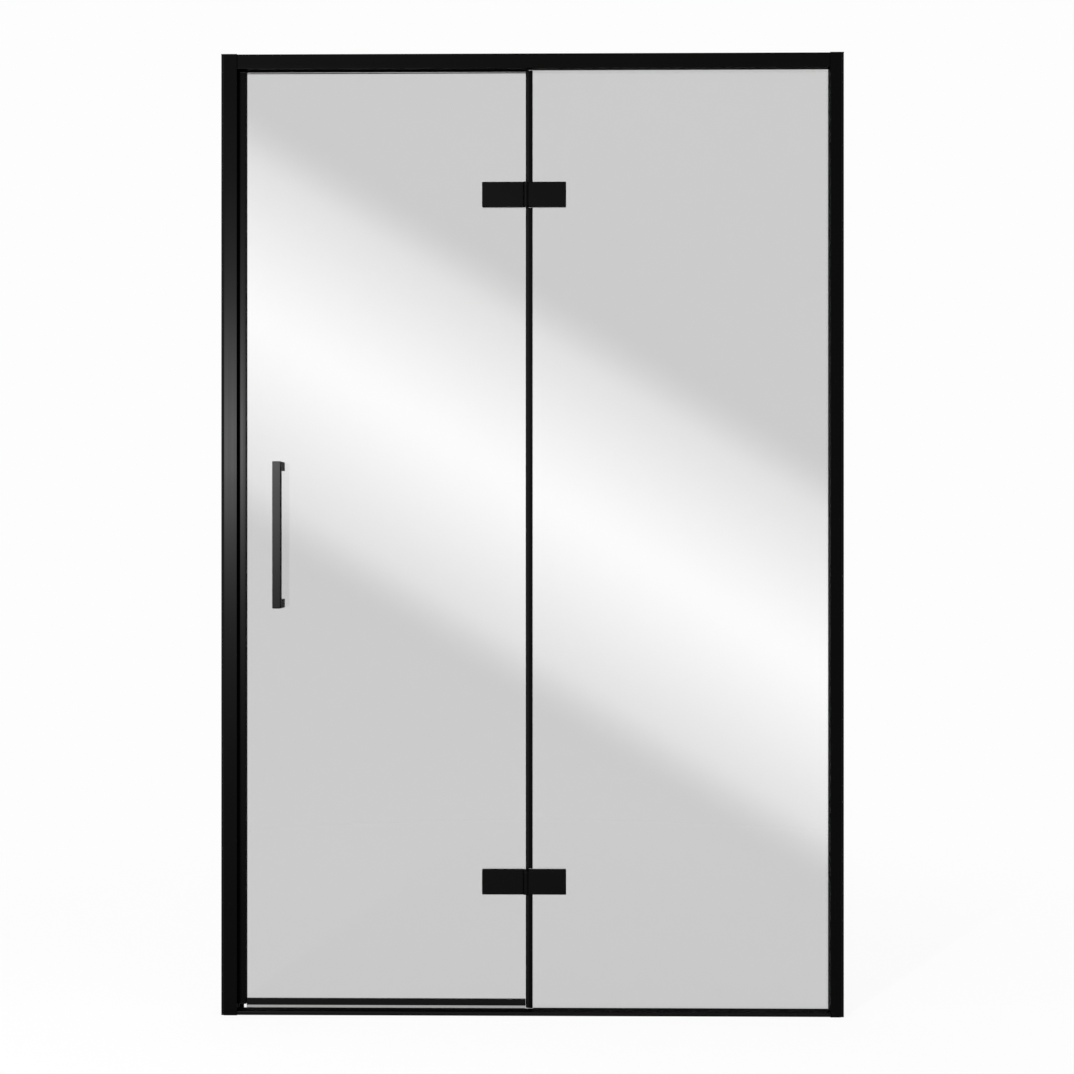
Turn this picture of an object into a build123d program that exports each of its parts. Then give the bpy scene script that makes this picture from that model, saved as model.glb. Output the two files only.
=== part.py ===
from build123d import *
import os

# Pivot shower door hung on a fixed in-line glass panel, drawn closed, in millimetres.
# X runs to the right seen from outside, Y runs into the shower and Z runs up.
# The origin is on the tray, midway between the walls, in the middle plane of the glass.

# Space between the walls, and height above the tray
width = 1196.0
height = 1850.0

# Glass panes
glass_thickness = 6.0
glass_hole_radius = 4.0

# Frame depth in front of and behind the glass's middle plane
frame_front = 25.0
frame_back = 11.0
extrusion_wall = 1.4
extrusion_corner = 0.6

# Wall channels, which the jambs slide over to take up an uneven wall
channel_wall = 1.4
slide_gap = 0.3
strike_channel_depth = 20.0
panel_channel_depth = 14.0
strike_reveal = 5.3
panel_reveal = 6.0
wall_hole_radius = 2.6
wall_hole_spacing = 750.0

# Strike jamb on the left, and the panel jamb that holds the fixed pane
strike_jamb_width = 25.0
panel_jamb_width = 20.0
stop_lip = 7.2
panel_back_step = 3.0
side_pocket_depth = 13.0
cap_thickness = 1.5
cap_plug_length = 8.0
cap_clearance = 0.3

# Header and threshold, set back from the jambs' front and back faces
rail_setback = 3.0
header_height = 27.5
header_pocket_depth = 17.5
header_back_step = 3.5
threshold_front = 7.0
threshold_crest = 9.6
threshold_back = 6.3
threshold_floor = 2.2
threshold_crest_land = 0.5
infill_clearance = 0.2
infill_height = 12.0
infill_drop = 4.0

# Glazing of the fixed pane
glazing_gap = 2.0
threshold_gasket = 1.5
side_bite = 12.0
top_bite = 13.0
gasket_height = 7.0
block_thickness = 2.0
block_length = 60.0
block_inset = 90.0

# Door leaf
door_span = 555.8
door_top_gap = 3.0
door_bottom_gap = 4.3
drip_seal_base = 3.1
drip_seal_wall = 1.6
drip_seal_height = 12.8
drip_fin = 1.5
leading_gap = 1.0
stile_width = 13.7
stile_front = 9.0
stile_bow = 0.2
stile_corner = 0.9
stile_back = 7.5
stile_lift = 0.7
stile_web = 1.2
stile_wall = 1.5
stile_cap = 1.5
glass_tape = 0.2

# Magnets and the soft stop
magnet_width = 7.0
magnet_depth = 2.6
magnet_play = 0.1
bumper_width = 4.0
bumper_gap = 0.4

# Joint between the two panes
axis_to_door_glass = 0.7
pane_gap = 8.2
edge_profile_wall = 1.6
edge_profile_grip = 5.6
edge_profile_side = 1.4
seal_clearance = 0.25
seal_bulb_wall = 0.9
seal_bulb_corner = 2.7
seal_width = 6.4
end_clearance = 0.4

# Glass-to-glass hinges
hinge_inset = 238.1
hinge_height = 48.4
door_leaf_reach = 84.4
panel_leaf_reach = 77.8
leaf_thickness = 8.0
back_plate_thickness = 6.0
back_plate_height = 41.0
back_plate_reach = 2.9
leaf_gasket = 1.0
leaf_corner = 1.8
leaf_chamfer = 0.5
barrel_radius = 4.6
barrel_recess = 1.8
barrel_gap = 0.4
ear_length = 4.4
washer_thickness = 0.8
washer_play = 0.1
lower_ear_gap = 0.4
pin_radius = 2.25
pin_clearance = 0.05
pin_grip = 0.02
pin_inset = 0.3
clamp_screw_spacing = 16.0
clamp_screw_radius = 3.0
clamp_head_radius = 5.0
clamp_head_height = 3.6
clamp_head_sink = 0.3
clamp_skin = 2.0
notch_depth = 36.0
notch_height = 31.0
notch_corner = 4.0
notch_clearance = 1.5
clamp_nip = 0.3
pad_inset = 0.8
socket_width = 4.0
socket_depth = 2.4
thread_clearance = 0.05
shank_clearance = 0.3
sleeve_clearance = 0.2

# Pull handle
handle_from_strike = 81.1
handle_height = 924.5
handle_length = 281.0
handle_width = 15.8
handle_depth = 15.0
handle_projection = 52.0
handle_post = 17.0
handle_edge = 1.0
handle_gasket = 0.8
handle_head_radius = 6.0
handle_head_thickness = 4.0
handle_tapping = 16.0

# Corner brackets that join the rails to the jambs
bracket_leg = 30.0
bracket_thickness = 3.0
bracket_clearance = 0.3

# Places worked out from the sizes
half_glass = glass_thickness / 2
front_y = -frame_front
back_y = frame_back
rail_front_y = front_y + rail_setback
rail_back_y = back_y - rail_setback
left_wall_x = -width / 2
right_wall_x = width / 2
strike_outer_x = left_wall_x + strike_reveal
strike_face_x = strike_outer_x + strike_jamb_width
panel_outer_x = right_wall_x - panel_reveal
panel_face_x = panel_outer_x - panel_jamb_width
jamb_top_z = height - cap_thickness
channel_front_y = front_y + extrusion_wall + slide_gap
channel_back_y = back_y - extrusion_wall - slide_gap
pocket_y = half_glass + glazing_gap
header_bottom_z = height - header_height
header_pocket_z = header_bottom_z + header_pocket_depth
header_back_z = header_bottom_z + header_back_step
groove_y = half_glass + threshold_gasket
crest_y = -groove_y - threshold_crest_land
threshold_fall = (threshold_crest - threshold_back) / (rail_back_y - crest_y)
groove_back_z = threshold_crest - threshold_fall * (groove_y - crest_y)

axis_x = strike_face_x + door_span
leaf_front_y = -half_glass - leaf_gasket - leaf_thickness
leaf_back_y = -half_glass - leaf_gasket
plate_front_y = half_glass + leaf_gasket
plate_back_y = plate_front_y + back_plate_thickness
clamp_top_y = plate_back_y - clamp_head_sink
clamp_under_y = clamp_top_y - clamp_head_height
axis_y = leaf_front_y + barrel_recess
door_glass_right_x = axis_x - axis_to_door_glass
panel_glass_left_x = door_glass_right_x + pane_gap
panel_glass_right_x = panel_face_x + side_bite
panel_glass_bottom_z = threshold_floor + block_thickness
panel_glass_top_z = header_bottom_z + top_bite
edge_profile_left_x = panel_glass_left_x - edge_profile_wall
edge_profile_right_x = panel_glass_left_x + edge_profile_grip

drip_bottom_z = threshold_crest + door_bottom_gap
door_glass_bottom_z = drip_bottom_z + drip_seal_base
door_glass_top_z = header_bottom_z - door_top_gap
stile_left_x = strike_face_x + leading_gap
stile_right_x = stile_left_x + stile_width
stile_bottom_z = door_glass_bottom_z + stile_lift
stile_pocket_x = stile_left_x + magnet_depth + stile_web
door_glass_left_x = stile_pocket_x + glass_tape
hinge_centres = {
    "upper": door_glass_top_z - hinge_inset,
    "lower": door_glass_bottom_z + hinge_inset,
}
stile_shoulder_y = stile_bow - stile_front
stile_channel_y = -half_glass - glass_tape - stile_wall
knuckle_top = hinge_height / 2 - ear_length - washer_thickness - 2 * washer_play
knuckle_bottom = hinge_height / 2 - ear_length - lower_ear_gap
door_plate_right_x = axis_x - barrel_radius - barrel_gap
panel_plate_left_x = axis_x + barrel_radius + barrel_gap
door_notch_x = door_glass_right_x - notch_depth
panel_notch_x = panel_glass_left_x + notch_depth
door_boss = (door_notch_x + notch_clearance, door_plate_right_x)
panel_boss = (panel_glass_left_x, panel_notch_x - notch_clearance)
door_screw_x = sum(door_boss) / 2
panel_screw_x = sum(panel_boss) / 2

handle_x = strike_face_x + handle_from_strike
handle_glass_y = -half_glass - handle_gasket
handle_front_y = -half_glass - handle_projection
handle_bolt_zs = [
    handle_height - handle_length / 2 + handle_post / 2,
    handle_height + handle_length / 2 - handle_post / 2,
]
handle_head_y = half_glass + handle_gasket

wall_hole_zs = [height / 2 + step * wall_hole_spacing for step in (-1, 0, 1)]
wall_hole_y = (channel_front_y + channel_back_y) / 2
bracket_front_y = rail_front_y + extrusion_wall + bracket_clearance
bracket_back_y = -pocket_y - extrusion_wall - bracket_clearance


def block(x0, x1, y0, y1, z0, z1):
    """Rectangular solid between two corners."""
    centre = Pos((x0 + x1) / 2, (y0 + y1) / 2, (z0 + z1) / 2)
    return centre * Box(x1 - x0, y1 - y0, z1 - z0)


def area(u0, u1, v0, v1):
    """Rectangle between two corners of a flat section."""
    return Pos((u0 + u1) / 2, (v0 + v1) / 2) * Rectangle(u1 - u0, v1 - v0)


def rounded(section, corners, radius):
    """Section with its corners nearest the given points rounded."""
    picked = []
    for corner in corners:
        target = Vector(*corner)
        picked.append(min(section.vertices(), key=lambda v: (Vector(*v) - target).length))
    return fillet(picked, radius)


def upright(section, z0, z1):
    """Section in X and Y drawn up from z0 to z1."""
    return Pos(0, 0, z0) * extrude(section, z1 - z0)


def crosswise(section, x0, x1):
    """Section in Y and Z drawn along X from x0 to x1."""
    return Pos(x0, 0, 0) * extrude(Plane.YZ * section, x1 - x0)


def rod_y(x, z, y0, y1, radius):
    """Round bar along Y."""
    return Pos(x, (y0 + y1) / 2, z) * Rot(90, 0, 0) * Cylinder(radius, y1 - y0)


def rod_x(y, z, x0, x1, radius):
    """Round bar along X."""
    return Pos((x0 + x1) / 2, y, z) * Rot(0, 90, 0) * Cylinder(radius, x1 - x0)


def rod_z(x, y, z0, z1, radius):
    """Round bar along Z."""
    return Pos(x, y, (z0 + z1) / 2) * Cylinder(radius, z1 - z0)


def tube_y(x, z, y0, y1, outer, inner):
    """Round sleeve along Y."""
    return rod_y(x, z, y0, y1, outer) - rod_y(x, z, y0, y1, inner)


def group(solids):
    """Separate solids that share one node."""
    return Compound(children=[solid.solid() for solid in solids])


def socket_screw(x, z, tip_y, under_y, top_y, head_radius):
    """Cylinder-head screw along Y with a hexagon socket in its head."""
    shank = rod_y(x, z, tip_y, under_y, clamp_screw_radius)
    head = rod_y(x, z, under_y, top_y, head_radius)
    hexagon = extrude(RegularPolygon(socket_width / 2, 6, major_radius=False), socket_depth)
    return shank + head - Pos(x, top_y, z) * Rot(90, 0, 0) * hexagon


def counterbore(x, z, through_y, under_y, top_y):
    """Clearance hole for a clamp screw, wider where its head sits."""
    hole = rod_y(x, z, through_y, under_y, clamp_screw_radius + shank_clearance)
    return hole + rod_y(x, z, under_y, top_y, clamp_head_radius + shank_clearance)


def wall_channel(wall_x, inward, depth):
    """U-shaped channel on the wall, open towards the doorway, with its fixing holes."""
    web = sorted([wall_x, wall_x + inward * channel_wall])
    legs = sorted([wall_x, wall_x + inward * depth])
    section = area(*web, channel_front_y, channel_back_y)
    section += area(*legs, channel_front_y, channel_front_y + channel_wall)
    section += area(*legs, channel_back_y - channel_wall, channel_back_y)
    channel = upright(section, 0, jamb_top_z)
    for z in wall_hole_zs:
        channel -= rod_x(wall_hole_y, z, web[0] - 1, web[1] + 1, wall_hole_radius)
    return channel


def strike_jamb():
    """Left jamb: a box open to the wall, with a magnet groove and a stop lip behind the door."""
    body = area(strike_outer_x, strike_face_x, front_y, back_y)
    body = rounded(body, [(strike_face_x, front_y), (strike_outer_x, front_y)], extrusion_corner)
    body += area(strike_face_x - 1, strike_face_x + stop_lip, back_y - extrusion_wall, back_y)
    body -= area(
        strike_outer_x - 1,
        strike_face_x - extrusion_wall,
        front_y + extrusion_wall,
        back_y - extrusion_wall,
    )
    seat_half = magnet_width / 2 + magnet_play
    seat_x = strike_face_x - magnet_depth - magnet_play
    body += area(
        seat_x - extrusion_wall,
        strike_face_x,
        -seat_half - extrusion_wall,
        seat_half + extrusion_wall,
    )
    body -= area(seat_x, strike_face_x + 1, -seat_half, seat_half)
    return upright(body, 0, jamb_top_z) - bracket_slots(strike_face_x)


def panel_jamb():
    """Right jamb: a box open to the wall, with a pocket for the fixed pane's edge."""
    step_x = panel_face_x + panel_back_step
    pocket_x = panel_face_x + side_pocket_depth
    body = area(panel_face_x, panel_outer_x, front_y, back_y)
    body = rounded(body, [(panel_face_x, front_y), (panel_outer_x, front_y)], extrusion_corner)
    body -= area(
        panel_face_x + extrusion_wall,
        panel_outer_x + 1,
        front_y + extrusion_wall,
        back_y - extrusion_wall,
    )
    body += area(
        panel_face_x,
        pocket_x + extrusion_wall,
        -pocket_y - extrusion_wall,
        pocket_y + extrusion_wall,
    )
    body += area(step_x, step_x + extrusion_wall, pocket_y, back_y)
    body -= area(panel_face_x - 1, pocket_x, -pocket_y, pocket_y)
    body -= area(panel_face_x - 1, step_x, pocket_y - 1, back_y + 1)
    return upright(body, 0, jamb_top_z) - bracket_slots(panel_face_x)


def bracket_zs(rail):
    """Heights of a corner bracket's foot in its rail, and of its far end in the jamb."""
    if rail == "header":
        foot_low = header_bottom_z + extrusion_wall + bracket_clearance
        return foot_low, foot_low + bracket_thickness, foot_low - bracket_leg
    foot_low = extrusion_wall + bracket_clearance
    return foot_low, foot_low + bracket_thickness, foot_low + bracket_leg


def bracket_slots(face_x):
    """Slots in a jamb's inner wall for the corner brackets' feet."""
    reach = extrusion_wall + 1
    slots = []
    for rail in ("header", "threshold"):
        foot_low, foot_high, _ = bracket_zs(rail)
        slots.append(
            block(
                face_x - reach,
                face_x + reach,
                bracket_front_y - bracket_clearance,
                bracket_back_y + bracket_clearance,
                foot_low - bracket_clearance,
                foot_high + bracket_clearance,
            )
        )
    return slots


def corner_bracket(rail, face_x, inward):
    """Angle bracket with one leg in a rail's hollow and the other inside the jamb."""
    foot_low, foot_high, far_z = bracket_zs(rail)
    wall_x = face_x - inward * extrusion_wall
    foot = sorted([wall_x - inward * bracket_thickness, face_x + inward * bracket_leg])
    upright_leg = sorted([wall_x, wall_x - inward * bracket_thickness])
    upright_zs = (min(foot_low, far_z), max(foot_high, far_z))
    ys = (bracket_front_y, bracket_back_y)
    return block(*foot, *ys, foot_low, foot_high) + block(*upright_leg, *ys, *upright_zs)


def header_section():
    """Header: a hollow front box beside a glazing pocket that is open downwards."""
    box_back = -pocket_y - extrusion_wall
    body = area(rail_front_y, rail_back_y, header_bottom_z, height)
    body = rounded(
        body,
        [(rail_front_y, header_bottom_z), (rail_front_y, height), (rail_back_y, height)],
        extrusion_corner,
    )
    body -= area(
        rail_front_y + extrusion_wall,
        box_back,
        header_bottom_z + extrusion_wall,
        height - extrusion_wall,
    )
    body -= area(-pocket_y, rail_back_y - extrusion_wall, header_bottom_z - 1, header_pocket_z)
    body -= area(
        -pocket_y,
        rail_back_y - extrusion_wall,
        header_pocket_z + extrusion_wall,
        height - extrusion_wall,
    )
    body -= area(0, rail_back_y + 1, header_bottom_z - 1, header_back_z)
    return body


def header_infill_section():
    """Strip that closes the header's pocket over the door, with a lip under the back flange."""
    front = -pocket_y + infill_clearance
    back = rail_back_y - extrusion_wall - infill_clearance
    low = header_back_z - infill_clearance
    body = area(front, back, low, header_bottom_z + infill_height)
    body -= area(
        front + extrusion_wall,
        back - extrusion_wall,
        low + extrusion_wall,
        header_bottom_z + infill_height + 1,
    )
    body += area(half_glass + extrusion_wall, rail_back_y, header_back_z - infill_drop, low)
    return body


def threshold_section():
    """Low sill that rises from its front edge to a groove and falls towards the tray."""
    body = Polygon(
        (rail_front_y, 0),
        (rail_back_y, 0),
        (rail_back_y, threshold_back),
        (crest_y, threshold_crest),
        (rail_front_y, threshold_front),
        align=None,
    )
    body = rounded(body, [(rail_front_y, threshold_front)], extrusion_corner)
    body -= area(-groove_y, groove_y, threshold_floor, threshold_crest + 1)
    return body - area(
        rail_front_y + extrusion_wall,
        -groove_y - extrusion_wall,
        extrusion_wall,
        threshold_front - extrusion_wall,
    )


def threshold_infill_section():
    """Strip that closes the threshold's groove under the door."""
    side = groove_y - infill_clearance
    front_z = threshold_crest - infill_clearance
    back_z = groove_back_z - infill_clearance
    return Polygon(
        (-side, threshold_floor),
        (side, threshold_floor),
        (side, back_z),
        (-side, front_z),
        align=None,
    )


def jamb_cap(face_x, wall_x):
    """Plastic cap over a jamb and its channel, with a plug between the channel's legs."""
    low_x, high_x = sorted([wall_x, face_x])
    inward = 1 if face_x > wall_x else -1
    plug = sorted(
        [
            wall_x + inward * (channel_wall + cap_clearance),
            face_x - inward * (extrusion_wall + cap_clearance),
        ]
    )
    cap = block(low_x, high_x, front_y, back_y, jamb_top_z, height)
    cap += block(
        *plug,
        channel_front_y + channel_wall + cap_clearance,
        -pocket_y - extrusion_wall - cap_clearance,
        jamb_top_z - cap_plug_length,
        jamb_top_z,
    )
    return cap


def glass_notch(x0, x1, z):
    """Notch with rounded corners, cut right through a pane's edge."""
    half = notch_height / 2
    notch = block(x0, x1, -half_glass - 1, half_glass + 1, z - half, z + half)
    return fillet(notch.edges().filter_by(Axis.Y), notch_corner)


def fixed_glass():
    """Fixed pane with a notch in its free edge for each hinge."""
    pane = block(
        panel_glass_left_x,
        panel_glass_right_x,
        -half_glass,
        half_glass,
        panel_glass_bottom_z,
        panel_glass_top_z,
    )
    for z in hinge_centres.values():
        pane -= glass_notch(panel_glass_left_x - notch_depth, panel_notch_x, z)
    return pane


def door_glass():
    """Door pane with its hinge notches and handle holes."""
    pane = block(
        door_glass_left_x,
        door_glass_right_x,
        -half_glass,
        half_glass,
        door_glass_bottom_z,
        door_glass_top_z,
    )
    for z in hinge_centres.values():
        pane -= glass_notch(door_notch_x, door_glass_right_x + notch_depth, z)
    for z in handle_bolt_zs:
        pane -= rod_y(handle_x, z, -half_glass - 1, half_glass + 1, glass_hole_radius)
    return pane


def glazing_strips():
    """Gaskets on both faces of the fixed pane, in the jamb, the header and the threshold."""
    side_z0 = threshold_crest + end_clearance
    side_z1 = header_bottom_z - end_clearance
    side = [
        block(
            panel_face_x,
            panel_face_x + gasket_height,
            -pocket_y,
            -half_glass,
            side_z0,
            side_z1,
        ),
        block(
            panel_face_x + panel_back_step,
            panel_face_x + gasket_height,
            half_glass,
            pocket_y,
            side_z0,
            side_z1,
        ),
    ]
    rail_x0 = edge_profile_right_x + end_clearance
    rail_x1 = panel_face_x - end_clearance
    top = [
        block(
            rail_x0,
            rail_x1,
            -pocket_y,
            -half_glass,
            header_bottom_z,
            header_bottom_z + gasket_height,
        ),
        block(
            rail_x0,
            rail_x1,
            half_glass,
            rail_back_y - extrusion_wall,
            header_back_z,
            header_back_z + gasket_height,
        ),
    ]
    bottom = [
        block(
            rail_x0,
            rail_x1,
            -groove_y,
            -half_glass,
            threshold_floor + block_thickness,
            threshold_crest - infill_clearance,
        ),
        block(
            rail_x0,
            rail_x1,
            half_glass,
            groove_y,
            threshold_floor + block_thickness,
            groove_back_z - infill_clearance,
        ),
    ]
    return side, top, bottom


def setting_blocks():
    """Hard pads that carry the fixed pane in the threshold's groove."""
    centres = [panel_glass_left_x + block_inset, panel_glass_right_x - block_inset]
    return [
        block(
            x - block_length / 2,
            x + block_length / 2,
            -half_glass,
            half_glass,
            threshold_floor,
            panel_glass_bottom_z,
        )
        for x in centres
    ]


def strip_spans():
    """Heights of the three lengths of strip between, above and below the hinges."""
    half = hinge_height / 2 + end_clearance
    return [
        (threshold_crest + end_clearance, hinge_centres["lower"] - half),
        (hinge_centres["lower"] + half, hinge_centres["upper"] - half),
        (hinge_centres["upper"] + half, header_bottom_z - end_clearance),
    ]


def edge_profile_section():
    """Channel over the fixed pane's free edge."""
    side = half_glass + edge_profile_side
    body = area(edge_profile_left_x, edge_profile_right_x, -side, side)
    corners = [(edge_profile_left_x, -side), (edge_profile_left_x, side)]
    body = rounded(body, corners, extrusion_corner)
    return body - area(panel_glass_left_x, edge_profile_right_x + 1, -half_glass, half_glass)


def hinge_seal_section():
    """Hollow bulb seal between the edge profile and the door pane."""
    tip_x = door_glass_right_x + seal_clearance
    half = seal_width / 2
    outer = area(tip_x, edge_profile_left_x, -half, half)
    outer = rounded(outer, [(tip_x, -half), (tip_x, half)], seal_bulb_corner)
    hollow = area(
        tip_x + seal_bulb_wall,
        edge_profile_left_x - seal_bulb_wall,
        -half + seal_bulb_wall,
        half - seal_bulb_wall,
    )
    inner_tip = hollow.vertices().sort_by(Axis.X)[:2]
    return outer - chamfer(inner_tip, seal_bulb_corner - seal_bulb_wall)


def stile_outline():
    """Outline of the leading-edge profile: bowed in front and square behind."""
    sides = Polyline(
        (stile_right_x, stile_shoulder_y),
        (stile_right_x, stile_back),
        (stile_left_x, stile_back),
        (stile_left_x, stile_shoulder_y),
    )
    bow = ThreePointArc(
        (stile_left_x, stile_shoulder_y),
        ((stile_left_x + stile_right_x) / 2, -stile_front),
        (stile_right_x, stile_shoulder_y),
    )
    outline = make_face(sides.edges() + bow.edges())
    front = [(stile_left_x, stile_shoulder_y), (stile_right_x, stile_shoulder_y)]
    return rounded(outline, front, stile_corner)


def stile_pocket():
    """Slot in the leading-edge profile for the door pane."""
    half = half_glass + glass_tape
    return area(stile_pocket_x, stile_right_x + 1, -half, half)


def stile_section():
    """Leading-edge profile with its glass pocket, magnet groove and hollow front."""
    seat_half = magnet_width / 2 + magnet_play
    body = stile_outline() - stile_pocket()
    body -= area(stile_left_x - 1, stile_left_x + magnet_depth + magnet_play, -seat_half, seat_half)
    hollow_x = (stile_left_x + stile_wall, stile_right_x - stile_wall)
    return body - area(*hollow_x, stile_wall - stile_front, stile_channel_y)


def stile_cap_solid(z0, z1):
    """Thin plastic cap over an end of the leading-edge profile, slotted for the pane."""
    return upright(stile_outline() - stile_pocket(), z0, z1)


def drip_seal_section():
    """Seal pushed over the door pane's bottom edge, with a fin that throws water inwards."""
    side = half_glass + drip_seal_wall
    base_z = door_glass_bottom_z
    floor_z = drip_bottom_z + drip_fin
    body = area(-side, side, floor_z, drip_bottom_z + drip_seal_height)
    body -= area(-half_glass, half_glass, base_z, drip_bottom_z + drip_seal_height + 1)
    fin = Polygon(
        (-side, floor_z),
        (-side, floor_z - drip_fin / 3),
        (half_glass - drip_fin, drip_bottom_z),
        (half_glass, drip_bottom_z),
        (half_glass, floor_z),
        align=None,
    )
    return body + fin


def leaf_plate(x0, x1, y0, y1, z, chamfered_y):
    """Hinge plate with rounded corners, chamfered round the face at chamfered_y."""
    plate = block(x0, x1, y0, y1, z - hinge_height / 2, z + hinge_height / 2)
    plate = fillet(plate.edges().filter_by(Axis.Y), leaf_corner)
    face = min(plate.faces().filter_by(Axis.Y), key=lambda f: abs(f.center().Y - chamfered_y))
    return chamfer(face.edges(), leaf_chamfer)


def screw_zs(z):
    """Heights of the two clamp screws in a hinge plate."""
    return [z - clamp_screw_spacing / 2, z + clamp_screw_spacing / 2]


def with_boss(leaf, boss, x, z):
    """Leaf with the boss that fills the pane's notch, and its blind tapped holes."""
    half = notch_height / 2 - notch_clearance
    boss_back_y = plate_front_y - clamp_nip
    leaf += block(*boss, leaf_back_y, boss_back_y, z - half, z + half)
    radius = clamp_screw_radius + thread_clearance
    for screw_z in screw_zs(z):
        leaf -= rod_y(x, screw_z, leaf_front_y + clamp_skin, boss_back_y + 1, radius)
    return leaf


def door_leaf(z):
    """Front plate on the door pane, with an ear at each end of the barrel."""
    leaf = leaf_plate(
        axis_x - door_leaf_reach,
        door_plate_right_x,
        leaf_front_y,
        leaf_back_y,
        z,
        leaf_front_y,
    )
    for end in (-1, 1):
        z0, z1 = sorted([z + end * (hinge_height / 2 - ear_length), z + end * hinge_height / 2])
        leaf += rod_z(axis_x, axis_y, z0, z1, barrel_radius)
        leaf += block(
            door_plate_right_x - leaf_corner,
            axis_x,
            leaf_front_y + leaf_chamfer,
            axis_y + barrel_radius,
            z0,
            z1,
        )
    leaf -= rod_z(
        axis_x,
        axis_y,
        z - hinge_height / 2 - 1,
        z + hinge_height / 2 + 1,
        pin_radius + pin_grip,
    )
    return with_boss(leaf, door_boss, door_screw_x, z)


def panel_leaf(z):
    """Front plate on the fixed pane, with the barrel's long middle knuckle."""
    leaf = leaf_plate(
        panel_plate_left_x,
        axis_x + panel_leaf_reach,
        leaf_front_y,
        leaf_back_y,
        z,
        leaf_front_y,
    )
    leaf += rod_z(axis_x, axis_y, z - knuckle_bottom, z + knuckle_top, barrel_radius)
    leaf += block(
        axis_x,
        panel_plate_left_x + leaf_corner,
        leaf_front_y + leaf_chamfer,
        axis_y + barrel_radius,
        z - knuckle_bottom,
        z + knuckle_top,
    )
    leaf -= rod_z(
        axis_x,
        axis_y,
        z - knuckle_bottom - 1,
        z + knuckle_top + 1,
        pin_radius + pin_clearance,
    )
    return with_boss(leaf, panel_boss, panel_screw_x, z)


def back_plate(x0, x1, x, z):
    """Clamp plate behind a pane, with two counterbored holes."""
    half = back_plate_height / 2
    plate = block(x0, x1, plate_front_y, plate_back_y, z - half, z + half)
    plate = fillet(plate.edges().filter_by(Axis.Y), leaf_corner)
    for screw_z in screw_zs(z):
        plate -= counterbore(x, screw_z, plate_front_y - 1, clamp_under_y, plate_back_y + 1)
    return plate


def leaf_gasket_pads(plate_x0, plate_x1, notch_x0, notch_x1, z):
    """Gaskets between a pane and its two hinge plates, notched like the pane."""
    notch_half = notch_height / 2
    sides = [
        (leaf_back_y, -half_glass, hinge_height / 2 - pad_inset),
        (half_glass, plate_front_y, back_plate_height / 2 - pad_inset),
    ]
    pads = []
    for y0, y1, half in sides:
        pad = block(plate_x0, plate_x1, y0, y1, z - half, z + half)
        pad -= block(notch_x0, notch_x1, y0 - 1, y1 + 1, z - notch_half, z + notch_half)
        pads.append(pad)
    return pads


def hinge_pin(z):
    """Hinge pin through both ears and the knuckle."""
    half = hinge_height / 2 - pin_inset
    return rod_z(axis_x, axis_y, z - half, z + half, pin_radius)


def thrust_washer(z):
    """Washer on top of the knuckle, which carries the door through the upper ear."""
    low = z + knuckle_top + washer_play
    high = low + washer_thickness
    ring = rod_z(axis_x, axis_y, low, high, barrel_radius)
    return ring - rod_z(axis_x, axis_y, low - 1, high + 1, pin_radius + pin_clearance)


def pull_handle():
    """Square-section pull handle, its two posts flush with the ends of the bar."""
    x0 = handle_x - handle_width / 2
    x1 = handle_x + handle_width / 2
    z0 = handle_height - handle_length / 2
    z1 = handle_height + handle_length / 2
    handle = block(x0, x1, handle_front_y, handle_glass_y, z0, z1)
    handle -= block(
        x0 - 1,
        x1 + 1,
        handle_front_y + handle_depth,
        handle_glass_y + 1,
        z0 + handle_post,
        z1 - handle_post,
    )
    front = handle.faces().filter_by(Axis.Y).sort_by(Axis.Y)[0]
    ends = handle.faces().filter_by(Axis.Z).sort_by(Axis.Z)
    runs = ends[0].edges().filter_by(Axis.Y) + ends[-1].edges().filter_by(Axis.Y)
    handle = chamfer(front.edges() + runs, handle_edge)
    for z in handle_bolt_zs:
        radius = clamp_screw_radius + thread_clearance
        handle -= rod_y(handle_x, z, handle_glass_y - handle_tapping, handle_glass_y + 1, radius)
    return handle


def handle_pad(z):
    """Gasket between the glass and one of the handle's posts."""
    inset = handle_edge
    pad = block(
        handle_x - handle_width / 2 + inset,
        handle_x + handle_width / 2 - inset,
        handle_glass_y,
        -half_glass,
        z - handle_post / 2 + inset,
        z + handle_post / 2 - inset,
    )
    hole = clamp_screw_radius + shank_clearance
    return pad - rod_y(handle_x, z, handle_glass_y - 1, half_glass, hole)


def handle_sleeve(z):
    """Flanged sleeve that keeps a handle bolt and its head off the glass."""
    sleeve = rod_y(handle_x, z, -half_glass, half_glass, glass_hole_radius - sleeve_clearance)
    flange = rod_y(handle_x, z, half_glass, handle_head_y, handle_head_radius)
    hole = clamp_screw_radius + shank_clearance
    return sleeve + flange - rod_y(handle_x, z, -half_glass - 1, handle_head_y + 1, hole)


def handle_bolt(z):
    """Bolt from behind the door pane into a handle post, with a broad flat head."""
    tip_y = handle_glass_y - handle_tapping + shank_clearance
    top_y = handle_head_y + handle_head_thickness
    return socket_screw(handle_x, z, tip_y, handle_head_y, top_y, handle_head_radius)


def hinge_gaskets(side):
    """Gasket pads of both hinges on one pane."""
    pads = []
    for z in hinge_centres.values():
        if side == "door":
            plate_x0 = axis_x - door_leaf_reach + pad_inset
            pads += leaf_gasket_pads(plate_x0, door_glass_right_x, door_notch_x, axis_x, z)
        else:
            plate_x1 = axis_x + panel_leaf_reach - pad_inset
            pads += leaf_gasket_pads(panel_glass_left_x, plate_x1, axis_x, panel_notch_x, z)
    return pads


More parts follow.
